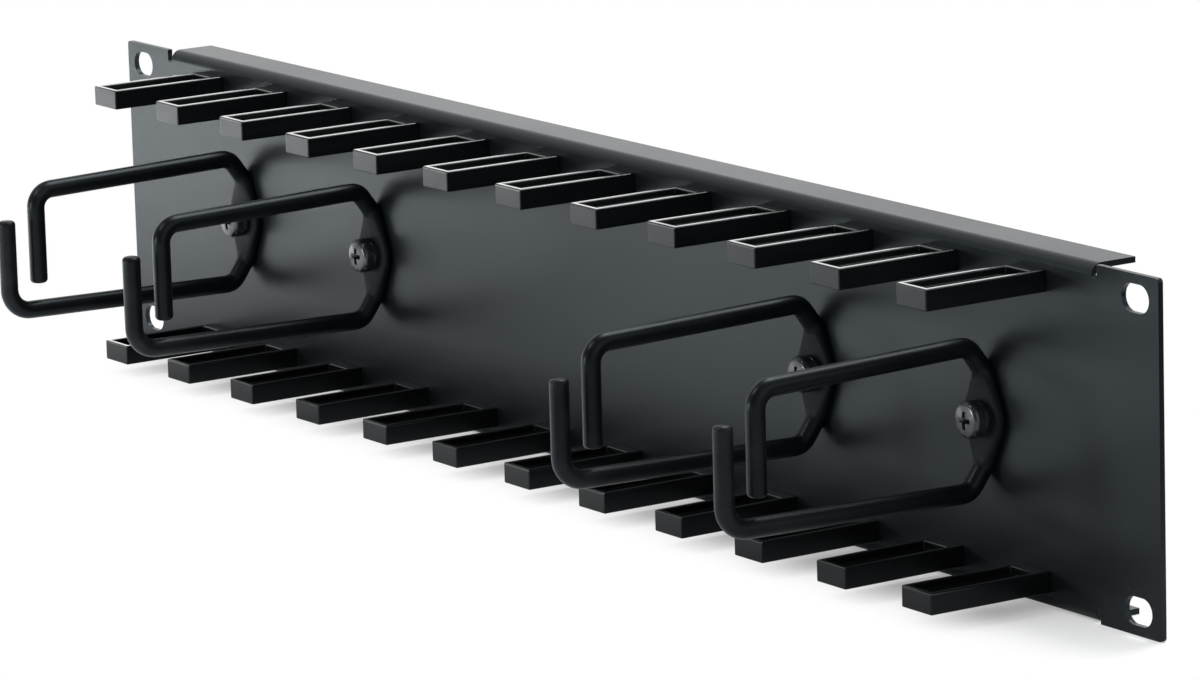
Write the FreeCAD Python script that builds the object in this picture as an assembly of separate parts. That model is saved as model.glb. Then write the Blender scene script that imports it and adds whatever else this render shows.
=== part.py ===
import FreeCAD, Part
import math
import os

# Horizontal cable manager for a 19 inch rack, two rack units high, in millimetres.
# The origin is the centre of the panel's rear face, which seats on the rack rails.
# X runs along the panel, Z is up, and the panel faces -Y.

# Panel: one folded steel sheet
panel_width = 482.6
panel_height = 88.1
sheet = 1.5
bend_inside_radius = 1.5
flange_depth = 12.0
ear_length = 25.3
ear_corner_radius = 1.0
relief_width = 2.0
relief_past_bend = 0.6

# Rack mounting slots, from the panel's ends and edges
slot_inset_x = 8.75
slot_inset_z = 5.95
slot_length = 10.4
slot_width = 7.0

# Fingers: moulded bars with a web between two ribs, snapped into the panel
finger_pitch = 35.0
finger_width = 12.0
finger_height = 5.5
finger_reach = 36.0
finger_rib = 1.5
finger_web = 1.5
finger_tip_wall = 1.5
finger_root_block = 4.0
finger_edge_break = 0.4
finger_inset = 6.8
finger_end_margin = 10.0

# Snap tenon behind each finger
tenon_width = 8.0
tenon_height = 3.5
tenon_clearance = 0.15
tenon_slit = 2.0
slit_past_face = 1.0
hook_catch = 0.8
hook_land = 0.6
hook_taper = 3.0
hook_tip_inset = 0.8

# Cable rings: bent rod, open at the front, pressed flat where it is screwed on
rod_diameter = 5.0
arm_height = 18.3
arm_closing = 1.6
ring_reach = 69.8
leg_spacing = 9.6
leg_past_middle = 9.5
upper_front_bend_radius = 5.0
lower_front_bend_radius = 6.5
back_bend_radius = 4.5
back_rise = 3.85
back_angle = 36.0
rod_end_round = 1.2
pad_diameter = 15.0
pad_thickness = 3.0
pad_edge_round = 0.5
neck_width = 12.0
neck_inset = 3.0
ring_gaps_from_end = (1, 3)

# Screws, washers and nuts that hold the rings
screw_diameter = 5.0
screw_length = 12.0
screw_tip_chamfer = 0.6
head_diameter = 9.5
head_height = 3.7
head_crown = 0.7
head_edge_round = 1.6
recess_span = 5.0
recess_slot = 1.1
recess_depth = 2.2
recess_side_angle = 27.0
lock_washer_diameter = 9.2
lock_washer_thickness = 1.2
lock_washer_gap = 1.0
lock_washer_lean = 20.0
washer_diameter = 10.0
washer_thickness = 1.0
nut_across_flats = 8.0
nut_height = 4.7
nut_corner_angle = 30.0
screw_hole_clearance = 0.25
washer_hole_clearance = 0.15
thread_clearance = 0.05

# Places worked out from the sizes above
panel_front = -sheet
half_width = panel_width / 2
half_height = panel_height / 2
bend_outside_radius = bend_inside_radius + sheet
bend_start = half_height - bend_outside_radius
flange_length = panel_width - 2 * ear_length
finger_row_z = half_height - finger_inset
finger_room = flange_length / 2 - finger_end_margin - finger_width / 2
fingers_each_side = int(finger_room / finger_pitch + 0.5)
rod_radius = rod_diameter / 2
pad_front = panel_front - pad_thickness
head_seat = pad_front - lock_washer_thickness
nut_seat = washer_thickness
margin = 1.0


def at(x, y, z):
    return FreeCAD.Vector(x, y, z)


def block(x_range, y_range, z_range):
    size = [high - low for low, high in (x_range, y_range, z_range)]
    return Part.makeBox(size[0], size[1], size[2], at(x_range[0], y_range[0], z_range[0]))


def rod_along_y(radius, y_low, y_high, x=0.0, z=0.0):
    return Part.makeCylinder(radius, y_high - y_low, at(x, y_low, z), at(0, 1, 0))


def turned(outline, x=0.0, z=0.0):
    """Solid of revolution about a Y axis through (x, z), from (radius, y) points."""
    face = Part.Face(Part.makePolygon([at(r, y, 0) for r, y in outline + outline[:1]]))
    solid = face.revolve(at(0, 0, 0), at(0, 1, 0), 360)
    solid.translate(at(x, 0, z))
    return solid


def finger_places():
    """X places of the fingers in one row, in pairs about the middle."""
    steps = range(-fingers_each_side, fingers_each_side)
    return [(step + 0.5) * finger_pitch for step in steps]


def ring_places():
    """X places of the rings, each in the middle of a gap between two fingers."""
    right = [(fingers_each_side - gap) * finger_pitch for gap in ring_gaps_from_end]
    return sorted([-x for x in right] + right)


# Panel


def folded_flange():
    """Top flange with its bend, from the bend's start to the free edge."""
    outer = half_height
    inner = half_height - sheet
    middle_y = bend_inside_radius
    turn = math.sqrt(0.5)
    outer_mid = at(0, middle_y - bend_outside_radius * turn, bend_start + bend_outside_radius * turn)
    inner_mid = at(0, middle_y - bend_inside_radius * turn, bend_start + bend_inside_radius * turn)
    corners = [
        at(0, panel_front, bend_start),
        at(0, middle_y, outer),
        at(0, flange_depth, outer),
        at(0, flange_depth, inner),
        at(0, middle_y, inner),
        at(0, 0, bend_start),
    ]
    edges = [
        Part.Arc(corners[0], outer_mid, corners[1]).toShape(),
        Part.makeLine(corners[1], corners[2]),
        Part.makeLine(corners[2], corners[3]),
        Part.makeLine(corners[3], corners[4]),
        Part.Arc(corners[4], inner_mid, corners[5]).toShape(),
        Part.makeLine(corners[5], corners[0]),
    ]
    flange = Part.Face(Part.Wire(edges)).extrude(at(flange_length, 0, 0))
    flange.translate(at(-flange_length / 2, 0, 0))
    return flange


def upside_down(shape):
    return shape.mirror(at(0, 0, 0), at(0, 0, 1))


def rack_slot(x, z):
    half_run = (slot_length - slot_width) / 2
    radius = slot_width / 2
    y_range = (panel_front - margin, margin)
    middle = block((x - half_run, x + half_run), y_range, (z - radius, z + radius))
    ends = [rod_along_y(radius, *y_range, x + side * half_run, z) for side in (-1, 1)]
    return middle.fuse(ends)


def relief_notch(x):
    """Notch with a round bottom that frees the end of the top bend from the ear."""
    radius = relief_width / 2
    bottom = bend_start - relief_past_bend + radius
    y_range = (panel_front - margin, margin)
    slot = block((x - radius, x + radius), y_range, (bottom, half_height + margin))
    return slot.fuse(rod_along_y(radius, *y_range, x, bottom))


def finger_hole(x, z):
    half_x = tenon_width / 2 + tenon_clearance
    half_z = tenon_height / 2 + tenon_clearance
    return block((x - half_x, x + half_x), (panel_front - margin, margin), (z - half_z, z + half_z))


def panel():
    web = block((-half_width, half_width), (panel_front, 0), (-half_height, half_height))
    corners = [e for e in web.Edges if abs(e.Vertexes[0].Y - e.Vertexes[1].Y) > sheet / 2]
    web = web.makeFillet(ear_corner_radius, corners)
    flange_end = flange_length / 2
    window = block((-flange_end, flange_end), (panel_front - margin, margin), (bend_start, half_height + margin))
    sheet_metal = web.cut([window, upside_down(window)])
    sheet_metal = sheet_metal.fuse([folded_flange(), upside_down(folded_flange())])
    cuts = []
    for side in (-1, 1):
        notch = relief_notch(side * (flange_end + relief_width / 2))
        cuts += [notch, upside_down(notch)]
        for edge in (-1, 1):
            cuts.append(rack_slot(side * (half_width - slot_inset_x), edge * (half_height - slot_inset_z)))
    for x in finger_places():
        cuts += [finger_hole(x, finger_row_z), finger_hole(x, -finger_row_z)]
    for x in ring_places():
        hole_radius = screw_diameter / 2 + screw_hole_clearance
        cuts.append(rod_along_y(hole_radius, panel_front - margin, margin, x))
    return sheet_metal.cut(cuts).removeSplitter()


# Fingers


def finger_bar():
    """Bar from the panel's face to the tip, with a pocket above and below its web."""
    half_x = finger_width / 2
    half_z = finger_height / 2
    tip = panel_front - finger_reach
    bar = block((-half_x, half_x), (tip, panel_front), (-half_z, half_z))
    kept_square = panel_front - finger_edge_break
    outer = [e for e in bar.Edges if min(v.Y for v in e.Vertexes) < kept_square]
    bar = bar.makeChamfer(finger_edge_break, outer)
    pocket = block(
        (-half_x + finger_rib, half_x - finger_rib),
        (tip + finger_tip_wall, panel_front - finger_root_block),
        (finger_web / 2, half_z + margin),
    )
    return bar.cut([pocket, upside_down(pocket)])


def snap_tenon():
    """Split tenon through the sheet, with a hook on each leg that catches behind it."""
    half = tenon_width / 2
    slit = tenon_slit / 2
    catch_x = half + hook_catch
    tip_y = hook_land + hook_taper
    leg = [
        (0, panel_front),
        (half, panel_front),
        (half, 0),
        (catch_x, 0),
        (catch_x, hook_land),
        (half - hook_tip_inset, tip_y),
        (0, tip_y),
    ]
    low = -tenon_height / 2
    outline = Part.makePolygon([at(x, y, low) for x, y in leg + leg[:1]])
    right = Part.Face(outline).extrude(at(0, 0, tenon_height))
    left = right.mirror(at(0, 0, 0), at(1, 0, 0))
    slit_range = (panel_front - slit_past_face, tip_y + margin)
    split = block((-slit, slit), slit_range, (low, -low))
    return right.fuse(left), split


def finger():
    tenon, split = snap_tenon()
    return finger_bar().fuse(tenon).cut(split).removeSplitter()


# Rings


def rounded_path(points, radii):
    """Straight runs joined by tangent arcs, one radius for each inner point."""
    edges = []
    start = points[0]
    for here, after, before, radius in zip(points[1:-1], points[2:], points[:-2], radii):
        into = (here - before).normalize()
        away = (after - here).normalize()
        turn = into.getAngle(away)
        tangent = radius * math.tan(turn / 2)
        first = here - into * tangent
        last = here + away * tangent
        inward = (away - into).normalize()
        middle = here + inward * (radius / math.cos(turn / 2) - radius)
        edges.append(Part.makeLine(start, first))
        edges.append(Part.Arc(first, middle, last).toShape())
        start = last
    edges.append(Part.makeLine(start, points[-1]))
    return Part.Wire(edges)


def bent_rod(points, radii):
    """Round rod along a path in the YZ plane, with its first end rounded."""
    path = rounded_path(points, radii)
    heading = points[1] - points[0]
    circle = Part.Wire(Part.makeCircle(rod_radius, points[0], heading))
    rod = path.makePipeShell([circle], True, True)
    ends = [e for e in rod.Edges if e.Closed and (e.BoundBox.Center - points[0]).Length < rod_radius / 2]
    return rod.makeFillet(rod_end_round, ends)


def pressed_section(y, z, lean, width, thickness):
    """Oval section of the rod on its way to flat, tilted back by lean degrees."""
    stretch = FreeCAD.Matrix()
    stretch.scale(width / 2, thickness / 2, 1)
    section = Part.Wire(Part.makeCircle(1)).transformGeometry(stretch)
    section.rotate(at(0, 0, 0), at(1, 0, 0), lean)
    section.translate(at(0, y, z))
    return section


def pressed_neck(touch_z):
    """The rod's last stretch, going from round where it meets the panel to flat at the eye."""
    end_z = pad_diameter / 2 - neck_inset
    middle_thickness = (rod_diameter + pad_thickness) / 2
    middle_width = (rod_diameter + neck_width) / 2
    sections = []
    for z, lean, width, thickness in (
        (touch_z, back_angle, rod_diameter, rod_diameter),
        ((touch_z + end_z) / 2, back_angle / 2, middle_width, middle_thickness),
        (end_z, 0, neck_width, pad_thickness),
    ):
        sections.append(pressed_section(panel_front - thickness / 2, z, lean, width, thickness))
    return Part.makeLoft(sections, True, False)


def ring_half(side, reach, front_bend_radius):
    """Leg, arm and sloped back of one half of a ring; side is 1 above and -1 below."""
    touch_y = panel_front - rod_radius
    touch_z = arm_height - back_rise / math.tan(math.radians(back_angle))
    leg_y = panel_front - reach
    path = [
        at(0, leg_y, -leg_past_middle),
        at(0, leg_y, arm_height - arm_closing),
        at(0, touch_y - back_rise, arm_height),
        at(0, touch_y, touch_z),
    ]
    rod = bent_rod(path, (front_bend_radius, back_bend_radius))
    half = rod.fuse(pressed_neck(touch_z))
    return half if side > 0 else upside_down(half)


def ring():
    pad = rod_along_y(pad_diameter / 2, pad_front, panel_front)
    rim = [e for e in pad.Edges if e.Closed and abs(e.BoundBox.Center.y - pad_front) < pad_edge_round]
    pad = pad.makeFillet(pad_edge_round, rim)
    upper = ring_half(1, ring_reach, upper_front_bend_radius)
    lower = ring_half(-1, ring_reach + leg_spacing, lower_front_bend_radius)
    body = pad.fuse([upper, lower])
    reach = ring_reach + leg_spacing + rod_diameter
    behind = block((-pad_diameter, pad_diameter), (panel_front, panel_front + reach), (-reach, reach))
    hole = rod_along_y(screw_diameter / 2 + screw_hole_clearance, pad_front - reach, margin)
    in_front = block(
        (-pad_diameter, pad_diameter),
        (pad_front - rod_diameter, pad_front),
        (-head_diameter / 2 - margin, head_diameter / 2 + margin),
    )
    return body.cut([behind, hole.common(in_front.fuse(pad)), in_front])


# Screws, washers and nuts


def cross_recess():
    """Cross recess in the head's front: two crossed wedges that narrow as they go in."""
    front = head_seat - head_height
    floor = front + recess_depth
    slope = math.tan(math.radians(recess_side_angle))
    mouth = recess_span / 2 + margin * slope
    bottom = recess_span / 2 - recess_depth * slope
    low = -recess_slot / 2
    corners = [(-mouth, front - margin), (mouth, front - margin), (bottom, floor), (-bottom, floor)]
    outline = Part.makePolygon([at(x, y, low) for x, y in corners + corners[:1]])
    wedge = Part.Face(outline).extrude(at(0, 0, recess_slot))
    crossing = wedge.copy()
    crossing.rotate(at(0, 0, 0), at(0, 1, 0), 90)
    return wedge.fuse(crossing)


def pan_head():
    """Head with a domed front and a rounded rim."""
    radius = head_diameter / 2
    front = head_seat - head_height
    dome_radius = (radius ** 2 + head_crown ** 2) / (2 * head_crown)
    dome = Part.makeSphere(dome_radius, at(0, front + dome_radius, 0))
    head = rod_along_y(radius, front, head_seat).common(dome)
    rim = [e for e in head.Edges if e.Closed and e.BoundBox.Center.y < head_seat - head_crown]
    return head.makeFillet(head_edge_round, rim)


def ring_screw():
    tip = head_seat + screw_length
    radius = screw_diameter / 2
    shank = turned([
        (0, head_seat - margin),
        (radius, head_seat - margin),
        (radius, tip - screw_tip_chamfer),
        (radius - screw_tip_chamfer, tip),
        (0, tip),
    ])
    return pan_head().fuse(shank).cut(cross_recess()).removeSplitter()


def lock_washer():
    """Split spring washer between the screw's head and the ring's pad."""
    inside = screw_diameter / 2 + washer_hole_clearance
    outside = lock_washer_diameter / 2
    washer = rod_along_y(outside, head_seat, pad_front).cut(rod_along_y(inside, head_seat, pad_front))
    half_gap = lock_washer_gap / 2
    split = block((-half_gap, half_gap), (head_seat - margin, pad_front + margin), (0, outside + margin))
    split.rotate(at(0, (head_seat + pad_front) / 2, 0), at(0, 0, 1), lock_washer_lean)
    return washer.cut(split)


def flat_washer():
    inside = screw_diameter / 2 + washer_hole_clearance
    return rod_along_y(washer_diameter / 2, 0, nut_seat).cut(rod_along_y(inside, 0, nut_seat))


def hex_nut():
    corner = nut_across_flats / math.sqrt(3)
    flat = nut_across_flats / 2
    drop = (corner - flat) * math.tan(math.radians(nut_corner_angle))
    end = nut_seat + nut_height
    corners = [math.radians(60 * step) for step in range(7)]
    outline = Part.makePolygon([at(corner * math.cos(a), nut_seat, corner * math.sin(a)) for a in corners])
    prism = Part.Face(outline).extrude(at(0, nut_height, 0))
    rounding = turned([
        (0, nut_seat),
        (flat, nut_seat),
        (corner, nut_seat + drop),
        (corner, end - drop),
        (flat, end),
        (0, end),
    ])
    bore = rod_along_y(screw_diameter / 2 + thread_clearance, nut_seat, end)
    return prism.common(rounding).cut(bore)


def at_every_ring(shape):
    """The same fastener at each ring, as separate solids of one group."""
    copies = []
    for x in ring_places():
        copy = shape.copy()
        copy.translate(at(x, 0, 0))
        copies.append(copy)
    return Part.makeCompound(copies)


def all_nodes():
    nodes = {"panel": panel()}
    for row, z in (("top", finger_row_z), ("bottom", -finger_row_z)):
        for number, x in enumerate(finger_places(), 1):
            bar = finger()
            bar.translate(at(x, 0, z))
            nodes[f"{row}_finger_{number:02d}"] = bar
    for number, x in enumerate(ring_places(), 1):
        loop = ring()
        loop.translate(at(x, 0, 0))
        nodes[f"cable_ring_{number}"] = loop
    nodes["ring_screws"] = at_every_ring(ring_screw())
    nodes["ring_lock_washers"] = at_every_ring(lock_washer())
    nodes["ring_flat_washers"] = at_every_ring(flat_washer())
    nodes["ring_nuts"] = at_every_ring(hex_nut())
    return nodes


os.makedirs("parts", exist_ok=True)
for name, shape in all_nodes().items():
    shape.exportStep(f"parts/{name}.step")
    box = shape.BoundBox
    print(
        f"{name}: {len(shape.Solids)} solid, valid {shape.isValid()}, {shape.Volume:.0f} mm3,",
        f"x {box.XMin:.1f} {box.XMax:.1f} y {box.YMin:.1f} {box.YMax:.1f} z {box.ZMin:.1f} {box.ZMax:.1f}",
    )
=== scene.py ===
import math
from contextlib import contextmanager
from itertools import product

import bmesh
import bpy
from mathutils import Matrix, Vector


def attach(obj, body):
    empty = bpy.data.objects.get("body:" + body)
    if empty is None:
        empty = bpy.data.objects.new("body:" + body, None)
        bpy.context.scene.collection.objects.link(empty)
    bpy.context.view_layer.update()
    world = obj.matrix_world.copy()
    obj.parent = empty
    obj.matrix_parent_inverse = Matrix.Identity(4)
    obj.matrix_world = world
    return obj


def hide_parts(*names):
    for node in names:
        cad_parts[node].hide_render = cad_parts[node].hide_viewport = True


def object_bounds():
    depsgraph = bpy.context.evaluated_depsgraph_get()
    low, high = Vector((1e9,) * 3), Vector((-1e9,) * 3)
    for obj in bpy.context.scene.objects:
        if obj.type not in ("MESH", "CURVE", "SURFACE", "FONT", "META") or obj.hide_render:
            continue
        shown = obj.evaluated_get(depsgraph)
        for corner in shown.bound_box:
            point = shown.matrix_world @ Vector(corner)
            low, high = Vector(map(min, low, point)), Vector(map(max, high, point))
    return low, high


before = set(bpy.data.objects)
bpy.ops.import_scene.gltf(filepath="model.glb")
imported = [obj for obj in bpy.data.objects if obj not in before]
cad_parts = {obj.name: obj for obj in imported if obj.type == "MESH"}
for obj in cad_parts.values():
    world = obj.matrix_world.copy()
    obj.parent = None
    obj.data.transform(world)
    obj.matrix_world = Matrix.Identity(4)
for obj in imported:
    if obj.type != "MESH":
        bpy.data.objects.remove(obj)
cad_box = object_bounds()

# Looks of a two unit horizontal cable manager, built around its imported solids.
# Sizes are in millimetres, as the solids' are, and become metres where a mesh is made.
# Materials, lights and the stage are in metres.

MM = 0.001

# Panel: a sheet that is cut flat and then folded
sheet = 1.5
panel_front = -sheet
panel_half_width = 241.3
panel_half_height = 44.05
bend_inside_radius = 1.5
bend_outside_radius = bend_inside_radius + sheet
bend_start = panel_half_height - bend_outside_radius
bend_length = bend_outside_radius * math.pi / 2
bend_steps = 10
flange_half_length = 216.0
flange_depth = 12.0
flange_straight = flange_depth - bend_inside_radius
relief_width = 2.0
relief_past_bend = 0.6
relief_steps = 12
ear_corner_radius = 1.0
ear_corner_steps = 6
slot_middle = (232.55, 38.1)
slot_half_run = 1.7
slot_radius = 3.5
slot_steps = 24
screw_hole_radius = 2.75
tenon_hole = (4.15, 1.9)
sheet_edge_round = 0.22
sheet_edge_segments = 2
sheet_smooth_angle = 35.0

# Fingers: mouldings with a pocket above and below a web
finger_pitch = 35.0
fingers_each_side = 6
finger_places = [
    finger_pitch * (step + 0.5) for step in range(-fingers_each_side, fingers_each_side)
]
finger_row = 37.25
finger_half_width = 6.0
finger_half_height = 2.75
finger_tip = -37.5
finger_rib = 1.5
finger_tip_wall = 1.5
finger_pocket_end = -5.5
finger_half_web = 0.75
finger_draft = 0.12
finger_edge_round = 0.35
finger_edge_segments = 3
finger_sway = 0.25
finger_smooth_angle = 35.0
bar_smooth_angle = 30.0
rib_top_depth = 0.4
tenon_half_width = 4.0
tenon_half_height = 1.75
tenon_half_slit = 1.0
tenon_catch = 4.8
tenon_land = 0.6
tenon_end = 3.6
tenon_tip_inset = 0.8
slit_bottom = -2.5
slit_top = 1.0

# Rings: bent rod, pressed flat round the screw
ring_places = (-175.0, -105.0, 105.0, 175.0)
rod_radius = 2.5
arm_height = 18.3
arm_closing = 1.6
upper_leg = panel_front - 69.8
lower_leg = upper_leg - 9.6
leg_past_middle = 9.5
upper_bend = 5.0
lower_bend = 6.5
back_bend = 4.5
pad_bend = 6.0
back_corner = -7.85
rod_end_round = 1.2
touch_height = 13.0
pad_radius = 7.5
pad_half_thickness = 1.5
pad_front = panel_front - 2 * pad_half_thickness
pad_squareness = 0.45
neck_height = 4.5
neck_half_width = 6.0
neck_blend = 1.2
press_lead_in = 0.4
press_lead_out = 1.2
ring_steps = 460
ring_sides = 28
ring_bend_corners = 14
ring_crowding = 0.72
ring_smooth_angle = 40.0
pad_cut = (panel_front - 6.0, panel_front + 2.0)

# Screws, spring washers, washers and nuts; thread_core is the radius, in thread depths, up to
# which no thread is cut
head_radius = 4.75
head_seat = -5.7
head_front = -9.4
head_crown = 0.7
head_crown_radius = (head_radius ** 2 + head_crown ** 2) / (2 * head_crown)
head_crown_reach = 3.4
head_crown_steps = 8
head_shoulder = 1.35
head_shoulder_steps = 7
head_edge = 0.15
recess_half_span = 2.5
recess_floor_half_span = 1.1
recess_half_slot = 0.62
recess_depth = 2.2
recess_draft = (0.5, 0.12, 0.25)
shank_radius = 2.5
shank_end = 6.3
shank_chamfer = 0.6
plain_shank = 0.8
thread_pitch = 0.8
thread_depth = 0.45
thread_step = 0.1
thread_core = 3.5
washer_hole = 2.66
washer_edge = 0.12
spring_washer_radius = 4.6
spring_washer_gap = 13.0
washer_radius = 5.0
washer_back = 1.0
nut_half_flats = 4.0
nut_back = 5.7
nut_bore = 2.55
nut_bore_chamfer = 0.3
nut_chamfer = 0.36
nut_face_inset = 0.1
nut_step = 0.18
screw_steps = 40
washer_steps = 64
nut_steps = 72
turned_smooth_angle = 32.0

# Meshes: the gaps that are closed, the angle from which an edge is rounded, the corners of
# round holes and how far cutters pass the faces that they cut
merge_gap = 0.001
thread_merge_gap = 0.002
cut_merge_gap = 0.0005
split_gap = 0.0001
sharp_angle = 50
circle_corners = 48
cut_past = 1.0

# Repeated pieces: how much of the sway each axis gets, and the fixed seeds
sway_shares = (1.0, 0.6, 1.0)
finger_seed = 11
ring_seed = 3
fastener_seed = 5

# Where the photograph was taken from, in degrees and metres
camera_azimuth = 56.262
camera_elevation = 11.757
camera_roll = -1.635
camera_target = Vector((0.00265, 0.0, -0.00819))
camera_distance = 1.7320
camera_lens = 195.13
camera_sensor = 36.0
camera_reach = 10.0

# Stage: the floor, where its shadow starts to fade before the panel, over what distance and from
# what share of white, where reflections see the far floor white, how bright the painted shade
# is that reflections see on the floor, and how bright the surround is
floor_half_size = 6.0
floor_drop = 0.00005
shadow_front = 0.012
shadow_fade = 0.030
shadow_white = 0.30
far_floor = (0.9, 1.4)
painted_shade_level = 0.04
surround_dark = 0.08
surround_light = 0.80

# Wear, in metres: where it starts and where it is full, from a slot's middle and along Y on the
# rods; the height and the least Y of the rods' hammered part
slot_wear = (0.0085, 0.0050)
rod_rub = (-0.060, -0.078)
rod_pressed_height = (0.0130, 0.0085)
rod_pressed_from = -0.012

# Colours: the darker and the lighter shade that each material mixes
powder_shades = (0.0034, 0.0040, 0.0048), (0.0050, 0.0058, 0.0068)
powder_scuff = (0.040, 0.041, 0.043)
rod_shades = (0.0026, 0.0030, 0.0036), (0.0042, 0.0047, 0.0054)
rod_rubbed = (0.030, 0.031, 0.033)
plastic_shades = (0.0022, 0.0025, 0.0028), (0.0036, 0.0040, 0.0044)
dark_zinc_shades = (0.060, 0.062, 0.066), (0.110, 0.113, 0.118)
bright_zinc_shades = (0.46, 0.48, 0.51), (0.62, 0.64, 0.66)
paper_shades = (0.96, 0.96, 0.96), (0.98, 0.98, 0.98)
white = (1.0, 1.0, 1.0, 1.0)
sky_white = (0.98, 0.99, 1.0, 1.0)


# Nodes


class Wire:
    """An output of a node; arithmetic on it adds Math nodes."""

    def __init__(self, graph, socket):
        self.graph = graph
        self.socket = socket

    def maths(self, operation, *others):
        return self.graph.maths(operation, self, *others)

    def __add__(self, other):
        return self.maths("ADD", other)

    def __sub__(self, other):
        return self.maths("SUBTRACT", other)

    def __rsub__(self, other):
        return self.graph.maths("SUBTRACT", other, self)

    def __mul__(self, other):
        return self.maths("MULTIPLY", other)

    def __truediv__(self, other):
        return self.maths("DIVIDE", other)

    def __pow__(self, other):
        return self.maths("POWER", other)

    def __neg__(self):
        return self.maths("MULTIPLY", -1.0)

    def __abs__(self):
        return self.maths("ABSOLUTE")

    __radd__ = __add__
    __rmul__ = __mul__

    def least(self, other):
        return self.maths("MINIMUM", other)

    def most(self, other):
        return self.maths("MAXIMUM", other)

    def above(self, other):
        return self.maths("GREATER_THAN", other)

    def below(self, other):
        return self.maths("LESS_THAN", other)

    def modulo(self, other):
        return self.maths("FLOORED_MODULO", other)

    def ramp(self, low, high, to_low=0.0, to_high=1.0):
        """Smooth change from to_low to to_high while the value goes from low to high."""
        sockets = {
            "Value": self, "From Min": low, "From Max": high, "To Min": to_low, "To Max": to_high,
        }
        return self.graph.node("ShaderNodeMapRange", {"interpolation_type": "SMOOTHSTEP"}, sockets)

    def beside(self, name):
        """Another output of the same node."""
        return Wire(self.graph, self.socket.node.outputs[name])


class Graph:
    """A node tree, and short ways to add nodes to it."""

    def __init__(self, tree):
        self.tree = tree

    def node(self, kind, settings=None, sockets=None, out=0):
        made = self.tree.nodes.new(kind)
        for name, value in (settings or {}).items():
            setattr(made, name, value)
        for name, value in (sockets or {}).items():
            target = made.inputs[name]
            if isinstance(value, Wire):
                self.tree.links.new(value.socket, target)
            else:
                target.default_value = value
        return Wire(self, made.outputs[out]) if len(made.outputs) else None

    def maths(self, operation, *values):
        return self.node("ShaderNodeMath", {"operation": operation}, dict(enumerate(values)))

    def vectors(self, operation, *values):
        return self.node("ShaderNodeVectorMath", {"operation": operation}, dict(enumerate(values)))

    def scaled(self, vector, factor):
        settings = {"operation": "SCALE"}
        return self.node("ShaderNodeVectorMath", settings, {0: vector, "Scale": factor})

    def split(self, vector):
        parts = self.node("ShaderNodeSeparateXYZ", sockets={0: vector})
        return [Wire(self, socket) for socket in parts.socket.node.outputs]

    def join(self, x, y, z):
        return self.node("ShaderNodeCombineXYZ", sockets={0: x, 1: y, 2: z})

    def mix_colours(self, factor, first, second):
        """Mix of two colours, each a wire or (red, green, blue)."""
        first, second = (
            colour if isinstance(colour, Wire) else (*colour, 1.0) for colour in (first, second)
        )
        settings = {"data_type": "RGBA", "blend_type": "MIX"}
        return self.node("ShaderNodeMix", settings, {0: factor, 6: first, 7: second}, 2)

    def mix_surfaces(self, factor, first, second):
        return self.node("ShaderNodeMixShader", sockets={0: factor, 1: first, 2: second})

    def glow(self, strength):
        return self.node("ShaderNodeEmission", sockets={"Color": white, "Strength": strength})


class Shape(Graph):
    """A Geometry Nodes tree with named sizes, which ends in Realize Instances and Set Material."""

    def __init__(self, name):
        super().__init__(bpy.data.node_groups.new(name, "GeometryNodeTree"))
        self.tree.interface.new_socket(
            "Geometry", in_out="OUTPUT", socket_type="NodeSocketGeometry")
        self.source = self.tree.nodes.new("NodeGroupInput")
        self.given = self.named("Geometry", "NodeSocketGeometry")

    def named(self, name, kind="NodeSocketFloat"):
        self.tree.interface.new_socket(name, in_out="INPUT", socket_type=kind)
        return Wire(self, self.source.outputs[name])

    def finish(self, geometry):
        material = self.named("Material", "NodeSocketMaterial")
        realized = self.node("GeometryNodeRealizeInstances", sockets={0: geometry})
        sockets = {"Geometry": realized, "Material": material}
        painted = self.node("GeometryNodeSetMaterial", sockets=sockets)
        self.node("NodeGroupOutput", sockets={0: painted})
        return self.tree


# Meshes


def new_object(name, data):
    made = bpy.data.objects.new(name, data)
    bpy.context.scene.collection.objects.link(made)
    return made


def settled_mesh(piece):
    """The piece's mesh with its modifiers taken in."""
    bpy.context.view_layer.update()
    evaluated = piece.evaluated_get(bpy.context.evaluated_depsgraph_get())
    return bpy.data.meshes.new_from_object(evaluated)


def grown(name, seed_object, tree, sizes):
    """Plain mesh object of the tree's result on seed_object, which is removed."""
    modifier = seed_object.modifiers.new("shape", "NODES")
    modifier.node_group = tree
    identifiers = {
        item.name: item.identifier for item in tree.interface.items_tree if item.in_out == "INPUT"
    }
    for size, value in sizes.items():
        modifier[identifiers[size]] = value
    mesh = settled_mesh(seed_object)
    mesh.name = name
    bpy.data.objects.remove(seed_object)
    return new_object(name, mesh)


def with_modifier(piece, kind, **settings):
    """The piece, its mesh changed by one modifier."""
    modifier = piece.modifiers.new(kind.lower(), kind)
    for setting, value in settings.items():
        setattr(modifier, setting, value)
    mesh = settled_mesh(piece)
    piece.modifiers.clear()
    piece.data = mesh
    return piece


def combined(piece, other, operation, **settings):
    """Cuts the other object from the piece, or unites them, and removes the other."""
    with_modifier(piece, "BOOLEAN", object=other, operation=operation, solver="EXACT", **settings)
    bpy.data.objects.remove(other)


def round_edges(piece, width, segments):
    with_modifier(piece, "BEVEL", width=width * MM, segments=segments, limit_method="ANGLE",
                  angle_limit=math.radians(sharp_angle), use_clamp_overlap=True)


def weigh_normals(piece):
    return with_modifier(piece, "WEIGHTED_NORMAL", keep_sharp=True, weight=100)


@contextmanager
def edited(piece):
    """The piece's mesh as a bmesh, which is written back at the end."""
    bm = bmesh.new()
    bm.from_mesh(piece.data)
    yield bm
    bm.to_mesh(piece.data)
    bm.free()


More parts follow.
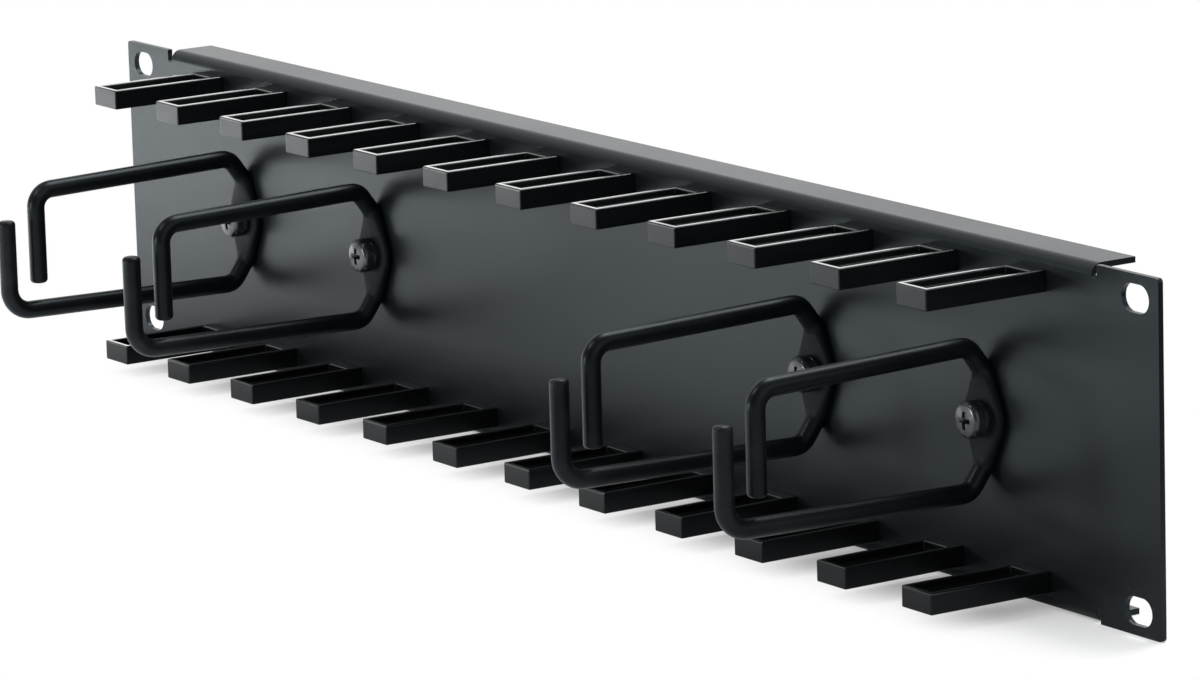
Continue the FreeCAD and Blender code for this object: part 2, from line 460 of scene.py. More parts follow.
def tidy_mesh(piece, smooth_angle, gap):
    """Merged doubles, outward faces and shading that is smooth except across sharp edges."""
    with edited(piece) as bm:
        bmesh.ops.remove_doubles(bm, verts=bm.verts, dist=gap * MM)
        bmesh.ops.dissolve_degenerate(bm, edges=bm.edges, dist=gap * MM / 4)
        bmesh.ops.recalc_face_normals(bm, faces=bm.faces)
    piece.data.shade_smooth()
    piece.data.set_sharp_from_angle(angle=math.radians(smooth_angle))
    return piece


def closed_object(name, bm):
    """Object of a closed bmesh, with its faces turned outward."""
    bmesh.ops.recalc_face_normals(bm, faces=bm.faces)
    mesh = bpy.data.meshes.new(name)
    bm.to_mesh(mesh)
    bm.free()
    return new_object(name, mesh)


def points_object(name, points):
    mesh = bpy.data.meshes.new(name)
    mesh.from_pydata([Vector(point) * MM for point in points], [], [])
    return new_object(name, mesh)


def loft(bm, *outlines):
    """Closed body between two outlines of as many (x, y, z) points, its faces not yet outward."""
    low, high = ([bm.verts.new(Vector(point) * MM) for point in outline] for outline in outlines)
    bm.faces.new(low)
    bm.faces.new(high)
    for here in range(len(low)):
        after = (here + 1) % len(low)
        bm.faces.new((low[here], high[here], high[after], low[after]))


def prism(bm, outline, low, high, place):
    """Closed prism of a flat outline, from low to high; place makes a point of (u, v, depth)."""
    loft(bm, *([place(u, v, depth) for u, v in outline] for depth in (low, high)))


def along_y(u, v, depth):
    return (u, depth, v)


def along_z(u, v, depth):
    return (u, v, depth)


def rectangle(u0, v0, u1, v1):
    return [(u0, v0), (u1, v0), (u1, v1), (u0, v1)]


def arc_points(u, v, radius, start, end, steps):
    angles = [math.radians(start + (end - start) * step / steps) for step in range(steps + 1)]
    return [(u + radius * math.cos(angle), v + radius * math.sin(angle)) for angle in angles]


def circle_points(u, radius):
    """A round outline on the middle line, without a double point where it closes."""
    last = 360.0 - 360.0 / circle_corners
    return arc_points(u, 0, radius, 0, last, circle_corners - 1)


# Materials


def material_graph(name):
    """A new material, its empty graph and the Object coordinates in it."""
    material = bpy.data.materials.new(name)
    material.use_nodes = True
    material.node_tree.nodes.clear()
    graph = Graph(material.node_tree)
    return material, graph, graph.node("ShaderNodeTexCoord", out="Object")


def noise(graph, place, scale, detail=2.0, roughness=0.5):
    sockets = {"Vector": place, "Scale": scale, "Detail": detail, "Roughness": roughness}
    return graph.node("ShaderNodeTexNoise", sockets=sockets)


def stretched(graph, place, scale):
    return graph.node("ShaderNodeMapping", sockets={"Vector": place, "Scale": scale})


def finished(material, graph, colour, roughness, height, bump, **fixed):
    """Principled surface; bump is its strength and distance, and fixed are the other sockets."""
    strength, distance = bump
    sockets = {"Strength": strength, "Distance": distance, "Height": height}
    normal = graph.node("ShaderNodeBump", sockets=sockets)
    sockets = {"Base Color": colour, "Roughness": roughness, "Normal": normal}
    sockets.update({name.replace("_", " "): value for name, value in fixed.items()})
    surface = graph.node("ShaderNodeBsdfPrincipled", sockets=sockets)
    graph.node("ShaderNodeOutputMaterial", sockets={"Surface": surface})
    return material


def powder_coat():
    """Satin black powder coat: orange peel, faint haze, and scuffs where it is bolted."""
    material, graph, place = material_graph("black_powder_coat")
    x, _, z = graph.split(place)
    peel = noise(graph, place, 620.0)
    grit = noise(graph, place, 2600.0, detail=1.0)
    haze = noise(graph, place, 16.0, detail=4.0, roughness=0.6)
    streaks = stretched(graph, place, (60.0, 60.0, 900.0))
    scratch = noise(graph, streaks, 1.0, detail=3.0, roughness=0.7).ramp(0.66, 0.74)
    out_x = abs(x) - slot_middle[0] * MM
    out_z = abs(z) - slot_middle[1] * MM
    from_slot = (out_x * out_x + out_z * out_z) ** 0.5
    specks = noise(graph, place, 700.0, detail=3.0, roughness=0.7).ramp(0.5, 0.72)
    washer_mark = from_slot.ramp(*slot_wear) * specks
    wear = (scratch * haze.ramp(0.55, 0.75) * 0.35).most(washer_mark * 0.5)
    black = graph.mix_colours(haze.ramp(0.3, 0.7), *powder_shades)
    return finished(
        material, graph,
        colour=graph.mix_colours(wear, black, powder_scuff),
        roughness=0.27 + haze * 0.09 + grit * 0.05 + wear * 0.12,
        height=peel * 0.7 + grit * 0.3 - wear * 0.2,
        bump=(0.20, 0.00007),
        Specular_IOR_Level=0.32, Specular_Tint=(0.68, 0.90, 1.0, 1),
    )


def rod_coat():
    """Satin black coat on the rods: hammered where they are pressed, rubbed by cables in front."""
    material, graph, place = material_graph("black_rod_coat")
    _, y, z = graph.split(place)
    peel = noise(graph, place, 420.0)
    grit = noise(graph, place, 1900.0, detail=1.0)
    patch = noise(graph, place, 45.0, detail=4.0, roughness=0.6)
    rubbed = y.ramp(*rod_rub) * patch.ramp(0.45, 0.7)
    pressed = abs(z).ramp(*rod_pressed_height) * y.above(rod_pressed_from)
    hammered = noise(graph, place, 520.0, detail=3.0, roughness=0.6)
    black = graph.mix_colours(patch.ramp(0.3, 0.7), *rod_shades)
    return finished(
        material, graph,
        colour=graph.mix_colours(rubbed * 0.25, black, rod_rubbed),
        roughness=0.25 + patch * 0.12 - rubbed * 0.04 + grit * 0.05 + pressed * 0.28,
        height=peel * 0.8 + grit * 0.2 + pressed * hammered * 2.5,
        bump=(0.09, 0.00006),
        Specular_IOR_Level=0.17, Specular_Tint=(0.74, 0.93, 1.0, 1),
    )


def moulded_plastic():
    """Black moulded plastic: spark-eroded grain, flow marks, and ribs with polished tops."""
    material, graph, place = material_graph("black_moulded_plastic")
    z = graph.split(place)[2]
    grain = noise(graph, place, 1500.0, detail=3.0, roughness=0.6)
    cells = graph.node("ShaderNodeTexVoronoi", sockets={"Vector": place, "Scale": 1900.0})
    along_flow = stretched(graph, place, (220.0, 26.0, 220.0))
    flow = noise(graph, along_flow, 1.0, detail=3.0, roughness=0.6)
    patch = noise(graph, place, 60.0, detail=3.0)
    upper_top = (finger_row + finger_half_height - rib_top_depth) * MM
    lower_top = (finger_half_height - finger_row) * MM
    tops = z.above(upper_top).most(abs(z - lower_top).below(rib_top_depth * MM))
    polished = tops * patch.ramp(0.2, 0.5, 0.6, 1.0)
    return finished(
        material, graph,
        colour=graph.mix_colours(flow.ramp(0.3, 0.7), *plastic_shades),
        roughness=0.17 + flow * 0.07 + patch * 0.04 + grain * 0.03 - polished * 0.07,
        height=grain * 0.6 + cells * 0.4,
        bump=(0.08, 0.00004),
        Specular_IOR_Level=0.27, Specular_Tint=(0.86, 0.96, 1.0, 1),
        Coat_Weight=polished, Coat_Roughness=0.08,
    )


def plated(name, shades, least_roughness, more_roughness, metallic):
    """Zinc plating: fine grain, and a mottled tone that also makes it rougher."""
    material, graph, place = material_graph(name)
    mottle = noise(graph, place, 420.0, detail=4.0, roughness=0.6)
    grain = noise(graph, place, 2600.0)
    return finished(
        material, graph,
        colour=graph.mix_colours(mottle.ramp(0.3, 0.7), *shades),
        roughness=least_roughness + mottle * more_roughness + grain * 0.04,
        height=grain * 0.5 + mottle * 0.5,
        bump=(0.12, 0.00004),
        Metallic=metallic,
    )


# Panel


def rounded_blank():
    """Outline of the flat sheet, as (x, s) points; s runs up the web and on round the bend."""
    top = bend_start + bend_length + flange_straight
    relief_radius = relief_width / 2
    relief_x = flange_half_length + relief_radius
    relief_bottom = bend_start - relief_past_bend + relief_radius
    corner = (panel_half_width - ear_corner_radius, panel_half_height - ear_corner_radius)
    quarter = [(flange_half_length, top)]
    quarter += arc_points(relief_x, relief_bottom, relief_radius, 180, 360, relief_steps)
    quarter += [(flange_half_length + relief_width, panel_half_height)]
    quarter += arc_points(*corner, ear_corner_radius, 90, 0, ear_corner_steps)
    right = quarter + [(x, -s) for x, s in reversed(quarter)]
    return right + [(-x, s) for x, s in reversed(right)]


def folded(point):
    """Place in the folded panel of the flat blank's point (x, s, depth under the front face)."""
    x, s, depth = point
    past = abs(s) - bend_start
    if past <= 0 or abs(x) > flange_half_length + relief_width / 2:
        return Vector((x, panel_front + depth, s))
    angle = min(past / bend_outside_radius, math.pi / 2)
    radius = bend_outside_radius - depth
    straight = max(0.0, past - bend_length)
    y = bend_inside_radius - radius * math.cos(angle) + straight
    z = bend_start + radius * math.sin(angle)
    return Vector((x, y, math.copysign(z, s)))


def hole_cutter():
    """Rack slots, screw holes and tenon holes, as prisms through the flat blank."""
    outlines = []
    for side, edge in product((-1, 1), (-1, 1)):
        x, s = side * slot_middle[0], edge * slot_middle[1]
        outlines.append(
            arc_points(x + slot_half_run, s, slot_radius, -90, 90, slot_steps)
            + arc_points(x - slot_half_run, s, slot_radius, 90, 270, slot_steps)
        )
    outlines += [circle_points(x, screw_hole_radius) for x in ring_places]
    half_x, half_s = tenon_hole
    for x, s in product(finger_places, (-finger_row, finger_row)):
        outlines.append(rectangle(x - half_x, s - half_s, x + half_x, s + half_s))
    bm = bmesh.new()
    for outline in outlines:
        prism(bm, outline, -cut_past, sheet + cut_past, along_z)
    return closed_object("hole_cutter", bm)


def split_across(bm, axis, place):
    """New edges where the mesh passes this place on the axis, which is 0 for X and 1 for Y."""
    normal = [float(axis == each) for each in range(3)]
    bmesh.ops.bisect_plane(
        bm, geom=bm.verts[:] + bm.edges[:] + bm.faces[:], dist=split_gap * MM,
        plane_co=[part * place * MM for part in normal], plane_no=normal,
    )


def folded_panel(material):
    bm = bmesh.new()
    prism(bm, rounded_blank(), 0.0, sheet, along_z)
    panel = closed_object("folded_panel", bm)
    combined(panel, hole_cutter(), "DIFFERENCE")
    with edited(panel) as bm:
        for side, step in product((-1, 1), range(bend_steps + 1)):
            split_across(bm, 1, side * (bend_start + bend_length * step / bend_steps))
        for side in (-1, 1):
            split_across(bm, 0, side * (flange_half_length + relief_width))
        for vert in bm.verts:
            vert.co = folded(vert.co / MM) * MM
        bmesh.ops.recalc_face_normals(bm, faces=bm.faces)
    round_edges(panel, sheet_edge_round, sheet_edge_segments)
    tidy_mesh(panel, sheet_smooth_angle, merge_gap)
    weigh_normals(panel)
    panel.data.materials.clear()
    panel.data.materials.append(material)
    return panel


# Fingers


def pocket_cutter():
    """The pockets above and below the web, narrower at their floors."""
    bm = bmesh.new()
    for side in (-1, 1):
        outlines = []
        for z, inset in (
            (finger_half_web, finger_draft), (finger_half_height + cut_past, -finger_draft / 2),
        ):
            end = finger_half_width - finger_rib - inset
            corners = rectangle(
                -end, finger_tip + finger_tip_wall + inset, end, finger_pocket_end - inset)
            outlines.append([(x, y, side * z) for x, y in corners])
        loft(bm, *outlines)
    return closed_object("pocket_cutter", bm)


def tenon_legs():
    """The two hooked legs of the snap tenon."""
    leg = [
        (tenon_half_slit, slit_bottom), (tenon_half_width, slit_bottom), (tenon_half_width, 0.0),
        (tenon_catch, 0.0), (tenon_catch, tenon_land),
        (tenon_half_width - tenon_tip_inset, tenon_end), (tenon_half_slit, tenon_end),
    ]
    bm = bmesh.new()
    for side in (-1, 1):
        outline = [(side * x, y) for x, y in leg]
        prism(bm, outline, -tenon_half_height, tenon_half_height, along_z)
    return closed_object("tenon_legs", bm)


def finger_shape():
    """One moulding at the origin of its row, with drafted pockets and a split snap tenon."""
    half_x, half_z = finger_half_width, finger_half_height
    bm = bmesh.new()
    prism(bm, rectangle(-half_x, -half_z, half_x, half_z), finger_tip, panel_front, along_y)
    bar = closed_object("finger_bar", bm)
    combined(bar, pocket_cutter(), "DIFFERENCE")
    bm = bmesh.new()
    slit = rectangle(-tenon_half_slit, slit_bottom, tenon_half_slit, slit_top)
    prism(bm, slit, -tenon_half_height, tenon_half_height, along_z)
    combined(bar, closed_object("slit_cutter", bm), "DIFFERENCE")
    combined(bar, tenon_legs(), "UNION")
    tidy_mesh(bar, bar_smooth_angle, merge_gap)
    round_edges(bar, finger_edge_round, finger_edge_segments)
    tidy_mesh(bar, finger_smooth_angle, merge_gap)
    return weigh_normals(bar)


def repeated_tree():
    """Stands a copy of a piece on each point, each turned a little at random."""
    shape = Shape("repeated_piece")
    piece = shape.named("Piece", "NodeSocketObject")
    sway = shape.named("Sway")
    seed = shape.named("Seed", "NodeSocketInt")
    sockets = {"Object": piece}
    copy = shape.node("GeometryNodeObjectInfo", sockets=sockets, out="Geometry")
    low = shape.scaled([-share for share in sway_shares], sway)
    high = shape.scaled(sway_shares, sway)
    settings = {"data_type": "FLOAT_VECTOR"}
    turn = shape.node("FunctionNodeRandomValue", settings, {0: low, 1: high, "Seed": seed})
    points = shape.node("GeometryNodeMeshToPoints", sockets={"Mesh": shape.given})
    sockets = {"Points": points, "Instance": copy, "Rotation": turn}
    return shape.finish(shape.node("GeometryNodeInstanceOnPoints", sockets=sockets))


def repeated(tree, name, piece, places, material, seed, sway=0.0):
    """One object of copies of the piece, which is removed; sway is in degrees."""
    sizes = {"Piece": piece, "Sway": math.radians(sway), "Seed": seed, "Material": material}
    copies = grown(name, points_object(name + "_places", places), tree, sizes)
    bpy.data.objects.remove(piece)
    return copies


# Rings


def ring_path():
    """The rod's centre line with square corners; each point's radius is its bend's."""
    slope = (arm_height - touch_height) / (panel_front - rod_radius - back_corner)
    pad_end = touch_height - slope * (rod_radius - pad_half_thickness)
    run = [
        (upper_leg, -leg_past_middle, 0.0),
        (upper_leg, arm_height - arm_closing, upper_bend),
        (back_corner, arm_height, back_bend),
        (panel_front - pad_half_thickness, pad_end, pad_bend),
        (panel_front - pad_half_thickness, -pad_end, pad_bend),
        (back_corner, -arm_height, back_bend),
        (lower_leg, -arm_height + arm_closing, lower_bend),
        (lower_leg, leg_past_middle, 0.0),
    ]
    curve = bpy.data.curves.new("ring_path", "CURVE")
    curve.dimensions = "3D"
    spline = curve.splines.new("POLY")
    spline.points.add(len(run) - 1)
    for point, (y, z, bend) in zip(spline.points, run):
        point.co = (0.0, y * MM, z * MM, 1.0)
        point.radius = bend * MM
    return new_object("ring_path", curve)


def swept_ring_tree():
    """Round rod along a path in the YZ plane, pressed flat and wide where it lies near z = 0."""
    shape = Shape("pressed_rod_ring")
    radius = shape.named("Rod radius")
    end_round = shape.named("End round")
    touch = shape.named("Touch height")
    pad = shape.named("Pad radius")
    flat = shape.named("Pad half thickness")
    neck_z = shape.named("Neck height")
    neck_x = shape.named("Neck half width")
    wall = shape.named("Panel front")
    bend = shape.node("GeometryNodeInputRadius")
    sockets = {"Curve": shape.given, "Count": ring_bend_corners, "Radius": bend}
    path = shape.node("GeometryNodeFilletCurve", {"mode": "POLY"}, sockets)
    length = shape.node("GeometryNodeCurveLength", sockets={0: path})
    sockets = {
        "Vertices": ring_sides, "Side Segments": ring_steps, "Fill Segments": 1,
        "Radius": 1.0, "Depth": 1.0,
    }
    tube = shape.node("GeometryNodeMeshCylinder", {"fill_type": "NGON"}, sockets, "Mesh")
    u, v, w = shape.split(shape.node("GeometryNodeInputPosition"))

    # Where each corner of the tube lies along the path, with more of them near its bends
    along = w + 0.5
    waves = 4 * math.pi
    crowd = (along * waves).maths("SINE") * (ring_crowding / waves)
    run = (along - crowd) * length
    sockets = {"Curves": path, "Length": run}
    middle = shape.node("GeometryNodeSampleCurve", {"mode": "LENGTH"}, sockets, "Position")
    sideways = shape.vectors("CROSS_PRODUCT", middle.beside("Tangent"), (1.0, 0.0, 0.0))

    # Height above the pad's middle; the legs, which reach far forward, count as above it
    _, path_y, path_z = shape.split(middle)
    height = abs(path_z) + path_y.below(wall - touch)
    from_end = run.least(length - run)
    inset = 1.0 - (from_end / end_round).least(1.0)
    tip = 1.0 - end_round / radius * (1.0 - (1.0 - inset * inset).most(0.0) ** 0.5)
    pressing = height.ramp(touch + press_lead_in * MM, neck_z + press_lead_out * MM)
    disc = (pad * pad - height * height).most(0.0) ** 0.5
    spread = (touch - height) / (touch - neck_z)
    taper = radius + (neck_x - radius) * spread.most(0.0).least(1.0)
    wide = disc.maths("SMOOTH_MAX", taper, neck_blend * MM).most(radius) * tip
    thick = (radius + (flat - radius) * pressing) * tip
    square = 1.0 - pressing * pad_squareness
    across = u.maths("SIGN") * abs(u) ** square * wide
    through = v.maths("SIGN") * abs(v) ** square * thick
    aside = shape.vectors("ADD", middle, shape.join(across, 0.0, 0.0))
    x, y, z = shape.split(shape.vectors("ADD", aside, shape.scaled(sideways, through)))
    sockets = {"Geometry": tube, "Position": shape.join(x, y.least(wall), z)}
    return shape.finish(shape.node("GeometryNodeSetPosition", sockets=sockets))


def cable_rings(material, tree):
    sizes = {
        "Rod radius": rod_radius, "End round": rod_end_round, "Touch height": touch_height,
        "Pad radius": pad_radius, "Pad half thickness": pad_half_thickness,
        "Neck height": neck_height, "Neck half width": neck_half_width,
        "Panel front": panel_front,
    }
    sizes = {name: size * MM for name, size in sizes.items()}
    ring = grown("one_ring", ring_path(), swept_ring_tree(), {**sizes, "Material": material})
    bm = bmesh.new()
    prism(bm, circle_points(0, screw_hole_radius), *pad_cut, along_y)
    cutter = closed_object("pad_hole_cutter", bm)
    tidy_mesh(ring, ring_smooth_angle, cut_merge_gap)
    combined(ring, cutter, "DIFFERENCE")
    tidy_mesh(ring, ring_smooth_angle, cut_merge_gap)
    places = [(x, 0, 0) for x in ring_places]
    return repeated(tree, "cable_rings", ring, places, material, ring_seed)


# Fasteners


def turned_tree():
    """Turns a profile of (radius, y) points round the Y axis, with flats or a thread if asked."""
    shape = Shape("turned_piece")
    count = shape.named("Profile points", "NodeSocketInt")
    around = shape.named("Steps around", "NodeSocketInt")
    start = shape.named("Start angle")
    sweep = shape.named("Sweep angle")
    flats = shape.named("Half flats")
    pitch = shape.named("Thread pitch")
    depth = shape.named("Thread depth")
    thread_from = shape.named("Thread from")
    sockets = {"Size X": 1.0, "Size Y": 1.0, "Vertices X": around + 1.0, "Vertices Y": count}
    grid = shape.node("GeometryNodeMeshGrid", sockets=sockets, out="Mesh")
    position = shape.node("GeometryNodeInputPosition")
    u, v, _ = shape.split(position)
    turn = u + 0.5
    order = ((v + 0.5) * (count - 1.0)).maths("ROUND")
    sockets = {"Geometry": shape.given, "Value": position, "Index": order}
    sample = shape.node("GeometryNodeSampleIndex", {"data_type": "FLOAT_VECTOR"}, sockets)
    r, y, _ = shape.split(sample)
    angle = start + turn * sweep
    sixth = math.pi / 3
    r = r.least(flats / (angle.modulo(sixth) - sixth / 2).maths("COSINE"))
    groove = 1.0 - abs((y / pitch - turn).modulo(1.0) * 2.0 - 1.0)
    threaded = y.above(thread_from) * r.above(depth * thread_core)
    r = r - depth * groove * threaded
    place = shape.join(r * angle.maths("COSINE"), y, r * angle.maths("SINE"))
    sockets = {"Geometry": grid, "Position": place}
    return shape.finish(shape.node("GeometryNodeSetPosition", sockets=sockets))


def turned(name, profile, tree, material, around, **sizes):
    """A closed mesh from a profile; sizes are by the tree's names, with _ for spaces."""
    given = {
        "Profile points": len(profile), "Steps around": around, "Start angle": 0.0,
        "Sweep angle": 2 * math.pi, "Half flats": 1.0, "Thread pitch": 1.0, "Thread depth": 0.0,
        "Thread from": 1.0, "Material": material,
    }
    given.update({key.replace("_", " "): value for key, value in sizes.items()})
    points = points_object(name + "_profile", [(r, y, 0) for r, y in profile])
    piece = grown(name, points, tree, given)
    with edited(piece) as bm:
        bmesh.ops.remove_doubles(bm, verts=bm.verts, dist=thread_merge_gap * MM)
        open_edges = [edge for edge in bm.edges if edge.is_boundary]
        if open_edges:
            bmesh.ops.holes_fill(bm, edges=open_edges, sides=0)
    return tidy_mesh(piece, turned_smooth_angle, thread_merge_gap)


def evenly(points, step):
    """The same profile with no run longer than step."""
    result = [points[0]]
    for (r0, y0), (r1, y1) in zip(points, points[1:]):
        parts = max(1, math.ceil(math.hypot(r1 - r0, y1 - y0) / step))
        result += [
            (r0 + (r1 - r0) * part / parts, y0 + (y1 - y0) * part / parts)
            for part in range(1, parts + 1)
        ]
    return result


def cross_cutter():
    """Crossed tapering blades of the driver recess."""
    wider, thicker, thinner = recess_draft
    bm = bmesh.new()
    for crossed in (False, True):
        outlines = []
        for y, half_span, half_slot in (
            (head_front - cut_past, recess_half_span + wider, recess_half_slot + thicker),
            (head_front + recess_depth, recess_floor_half_span, recess_half_slot - thinner),
        ):
            corners = rectangle(-half_span, -half_slot, half_span, half_slot)
            if crossed:
                corners = [(-z, x) for x, z in corners]
            outlines.append([(x, y, z) for x, z in corners])
        loft(bm, *outlines)
    return closed_object("recess_cutter", bm)


def screw_shape(tree, material):
    dome = []
    for step in range(head_crown_steps + 1):
        r = head_crown_reach * step / head_crown_steps
        sag = head_crown_radius - math.sqrt(head_crown_radius ** 2 - r ** 2)
        dome.append((r, head_front + sag))
    profile = dome[:-1] + arc_points(
        head_radius - head_shoulder, dome[-1][1] + head_shoulder, head_shoulder,
        -90, 0, head_shoulder_steps,
    )
    profile += [(head_radius, head_seat - head_edge), (head_radius - head_edge, head_seat)]
    shank = [
        (shank_radius, head_seat), (shank_radius, shank_end - shank_chamfer),
        (shank_radius - shank_chamfer, shank_end),
    ]
    profile += evenly(shank, thread_step) + [(0.0, shank_end)]
    screw = turned(
        "one_screw", profile, tree, material, screw_steps, Thread_pitch=thread_pitch * MM,
        Thread_depth=thread_depth * MM, Thread_from=(head_seat + plain_shank) * MM,
    )
    combined(screw, cross_cutter(), "DIFFERENCE", use_self=True)
    return tidy_mesh(screw, turned_smooth_angle, cut_merge_gap)


def ring_profile(outer, low, high):
    """Closed section of a washer with broken edges, from its inner corner round and back."""
    inner, edge = washer_hole, washer_edge
    return [
        (inner, low + edge), (inner + edge, low), (outer - edge, low), (outer, low + edge),
        (outer, high - edge), (outer - edge, high), (inner + edge, high), (inner, high - edge),
        (inner, low + edge),
    ]


def nut_profile():
    """Closed section of a nut out to its corners; the tree cuts the flats."""
    corner = nut_half_flats / math.cos(math.pi / 6)
    face = nut_half_flats - nut_face_inset
    bore, chamfer = nut_bore, nut_bore_chamfer
    return evenly([
        (bore, washer_back + chamfer), (bore + chamfer, washer_back), (face, washer_back),
        (corner, washer_back + nut_chamfer), (corner, nut_back - nut_chamfer), (face, nut_back),
        (bore + chamfer, nut_back), (bore, nut_back - chamfer), (bore, washer_back + chamfer),
    ], nut_step)


def fasteners(finishes, repeated_piece):
    """Each fastener's set, with the CAD node that it stands for and its slot."""
    tree = turned_tree()
    dark, bright = finishes["black_zinc"], finishes["bright_zinc"]
    gap = math.radians(spring_washer_gap)
    spring = turned(
        "one_spring_washer", ring_profile(spring_washer_radius, head_seat, pad_front),
        tree, dark, washer_steps,
        Start_angle=math.pi / 2 + gap / 2, Sweep_angle=2 * math.pi - gap,
    )
    washer = turned(
        "one_washer", ring_profile(washer_radius, 0.0, washer_back), tree, bright, washer_steps)
    nut = turned(
        "one_nut", nut_profile(), tree, bright, nut_steps, Half_flats=nut_half_flats * MM)
    places = [(x, 0, 0) for x in ring_places]
    for name, one, node, slot in (
        ("ring_screw_set", screw_shape(tree, dark), "ring_screws", "black_zinc"),
        ("spring_washer_set", spring, "ring_lock_washers", "black_zinc"),
        ("flat_washer_set", washer, "ring_flat_washers", "bright_zinc"),
        ("hex_nut_set", nut, "ring_nuts", "bright_zinc"),
    ):
        piece = repeated(repeated_piece, name, one, places, finishes[slot], fastener_seed)
        yield piece, [node], slot


# Stage


def make_camera():
    azimuth, elevation, roll = map(math.radians, (camera_azimuth, camera_elevation, camera_roll))
    level = math.cos(elevation)
    back = Vector((
        math.sin(azimuth) * level, -math.cos(azimuth) * level, math.sin(elevation),
    ))
    right = Vector((math.cos(azimuth), math.sin(azimuth), 0.0))
    up = back.cross(right)
    rolled_right = right * math.cos(roll) + up * math.sin(roll)
    rolled_up = up * math.cos(roll) - right * math.sin(roll)
    camera = new_object("camera", bpy.data.cameras.new("camera"))
    camera.data.sensor_width = camera_sensor
    camera.data.lens = camera_lens
    camera.data.clip_end = camera_reach
    turn = Matrix((rolled_right, rolled_up, back)).transposed().to_4x4()
    camera.matrix_world = Matrix.Translation(camera_target + back * camera_distance) @ turn
    bpy.context.scene.camera = camera


def soft_light(name, place, aim, size, power, spread=180):
    light = bpy.data.lights.new(name, "AREA")
    light.shape = "RECTANGLE"
    light.size, light.size_y = size
    light.energy = power
    light.spread = math.radians(spread)
    lamp = new_object(name, light)
    lamp.location = place
    lamp.rotation_mode = "QUATERNION"
    lamp.rotation_quaternion = (Vector(aim) - Vector(place)).to_track_quat("-Z", "Y")


def lights():
    middle = (0.0, 0.0, 0.0)
    soft_light("top_softbox", (-0.10, 0.45, 1.25), (0.0, -0.02, 0.0), (0.80, 0.60), 14.0)
    soft_light("front_softbox", (-0.21, -0.80, 1.02), middle, (0.36, 0.36), 4.0)
    soft_light("left_glint", (-0.40, -1.12, 0.09), middle, (0.14, 0.10), 3.6)
    soft_light("backdrop_glow", (-1.10, 0.74, 0.27), middle, (1.0, 0.36), 0.7)
    soft_light(
        "floor_pool", (-0.62, -0.24, 0.60), (-0.62, -0.24, 0.0), (0.34, 0.30), 2.0, spread=60)


def white_surround():
    """Even light on the object; camera and reflections see white, darker above and in front."""
    world = bpy.data.worlds.new("white_surround")
    bpy.context.scene.world = world
    world.use_nodes = True
    world.node_tree.nodes.clear()
    graph = Graph(world.node_tree)
    camera_ray = graph.node("ShaderNodeLightPath", out="Is Camera Ray")
    seen = camera_ray.most(camera_ray.beside("Is Glossy Ray"))
    seen = seen.most(camera_ray.beside("Is Transmission Ray"))
    _, y, z = graph.split(graph.node("ShaderNodeTexCoord", out="Generated"))
    lightness = y.ramp(-0.80, -0.12) * z.ramp(0.46, 0.88, 1.0, 0.04)
    level = surround_dark + (1.0 - surround_dark) * lightness
    sockets = {"Color": white, "Strength": level}
    shown = graph.node("ShaderNodeBackground", sockets=sockets)
    sockets = {"Color": sky_white, "Strength": surround_light}
    lit = graph.node("ShaderNodeBackground", sockets=sockets)
    both = graph.mix_surfaces(seen, lit, shown)
    graph.node("ShaderNodeOutputWorld", sockets={"Surface": both})


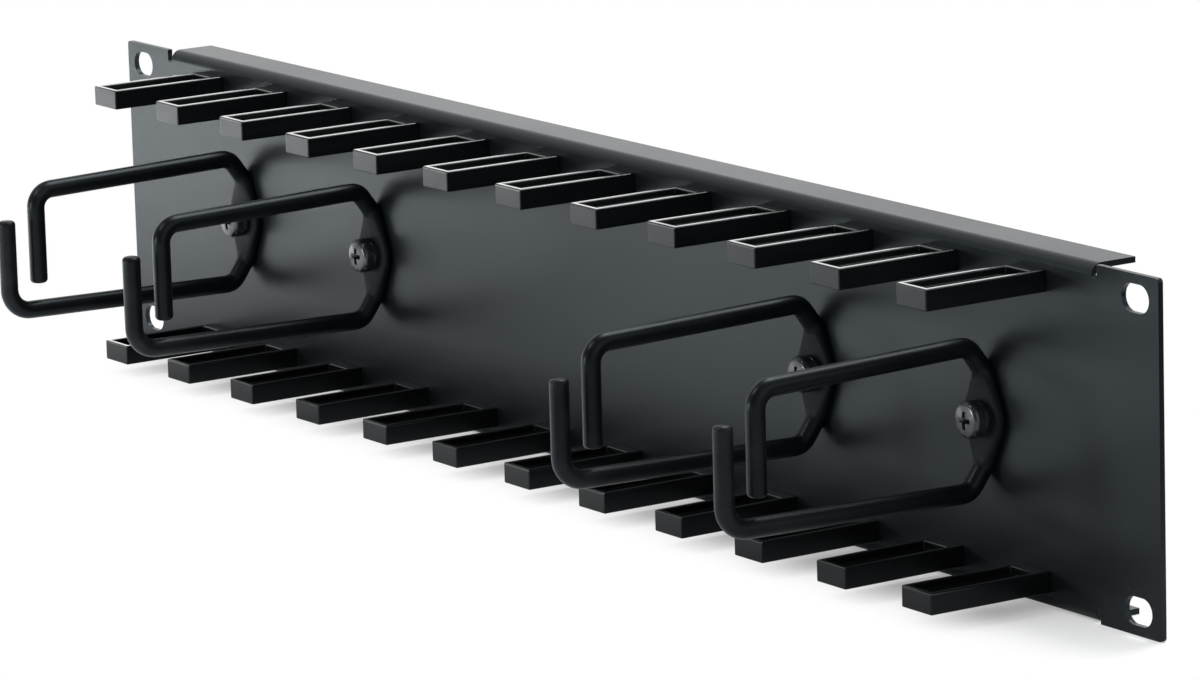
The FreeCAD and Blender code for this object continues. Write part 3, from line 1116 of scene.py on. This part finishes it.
def pale_floor():
    """Paper that keeps the shadow, fading into white, with dark painted shade that only
    reflections see.
    """
    material, graph, place = material_graph("pale_floor")
    grain = noise(graph, place, 60.0, detail=3.0)
    paper_colour = graph.mix_colours(grain, *paper_shades)
    paper = graph.node("ShaderNodeBsdfDiffuse", sockets={"Color": paper_colour})
    camera_ray = graph.node("ShaderNodeLightPath", out="Is Camera Ray")
    glossy_ray = camera_ray.beside("Is Glossy Ray")

    # Distance from the strip of floor that keeps its whole shadow
    x, y, _ = graph.split(place)
    side = (abs(x) - panel_half_width * MM).most(0.0)
    front = (-y - shadow_front).most(0.0)
    behind = y.most(0.0)
    gap = (side * side + front * front + behind * behind) ** 0.5
    faded = gap.ramp(0.0, shadow_fade, shadow_white, 1.0) * camera_ray
    distance = (x * x + y * y) ** 0.5
    far = distance.ramp(*far_floor) * glossy_ray
    open_floor = graph.mix_surfaces(faded.most(far), paper, graph.glow(1.0))

    # Painted shade for reflections only: beyond the right ear, before the panel's foot and its
    # right half
    beyond = x.ramp(0.26, 0.36) * y.ramp(-0.06, 0.04)
    foot = y.ramp(-0.12, -0.05, 0.0, 0.30) * x.ramp(-0.36, -0.24)
    right = x.ramp(-0.10, 0.12, 0.0, 0.50) * y.ramp(0.04, 0.02)
    reflected_painted_shade = beyond.most(foot.most(right)) * glossy_ray
    # Dark glow painted in place of the floor's shade, seen only by glossy rays
    surface = graph.mix_surfaces(reflected_painted_shade, open_floor, graph.glow(painted_shade_level))
    graph.node("ShaderNodeOutputMaterial", sockets={"Surface": surface})

    half, level = floor_half_size, cad_box[0].z - floor_drop
    mesh = bpy.data.meshes.new("pale_floor")
    corners = [(u, v, level) for u, v in rectangle(-half, -half, half, half)]
    mesh.from_pydata(corners, [], [(0, 1, 2, 3)])
    mesh.materials.append(material)
    floor = new_object("pale_floor", mesh)


# The object

finishes = {
    "powder_coat": powder_coat(),
    "ring_coat": rod_coat(),
    "finger_plastic": moulded_plastic(),
    "black_zinc": plated(
        "black_zinc_plate", dark_zinc_shades,
        least_roughness=0.20, more_roughness=0.08, metallic=0.9,
    ),
    "bright_zinc": plated(
        "bright_zinc_plate", bright_zinc_shades,
        least_roughness=0.20, more_roughness=0.14, metallic=1.0,
    ),
}
repeated_piece = repeated_tree()
fingers = repeated(
    repeated_piece, "moulded_fingers", finger_shape(),
    [(x, 0, z) for z in (finger_row, -finger_row) for x in finger_places],
    finishes["finger_plastic"], finger_seed, finger_sway,
)
finger_nodes = [
    f"{row}_finger_{number:02d}"
    for row in ("top", "bottom") for number in range(1, len(finger_places) + 1)
]
ring_nodes = [f"cable_ring_{number}" for number in range(1, len(ring_places) + 1)]
pieces = [
    (folded_panel(finishes["powder_coat"]), ["panel"], "powder_coat"),
    (fingers, finger_nodes, "finger_plastic"),
    (cable_rings(finishes["ring_coat"], repeated_piece), ring_nodes, "ring_coat"),
    *fasteners(finishes, repeated_piece),
]
for piece, nodes, slot in pieces:
    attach(piece, "root")
    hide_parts(*nodes)

white_surround()
pale_floor()
lights()
make_camera()
bpy.context.scene.view_settings.view_transform = "Standard"
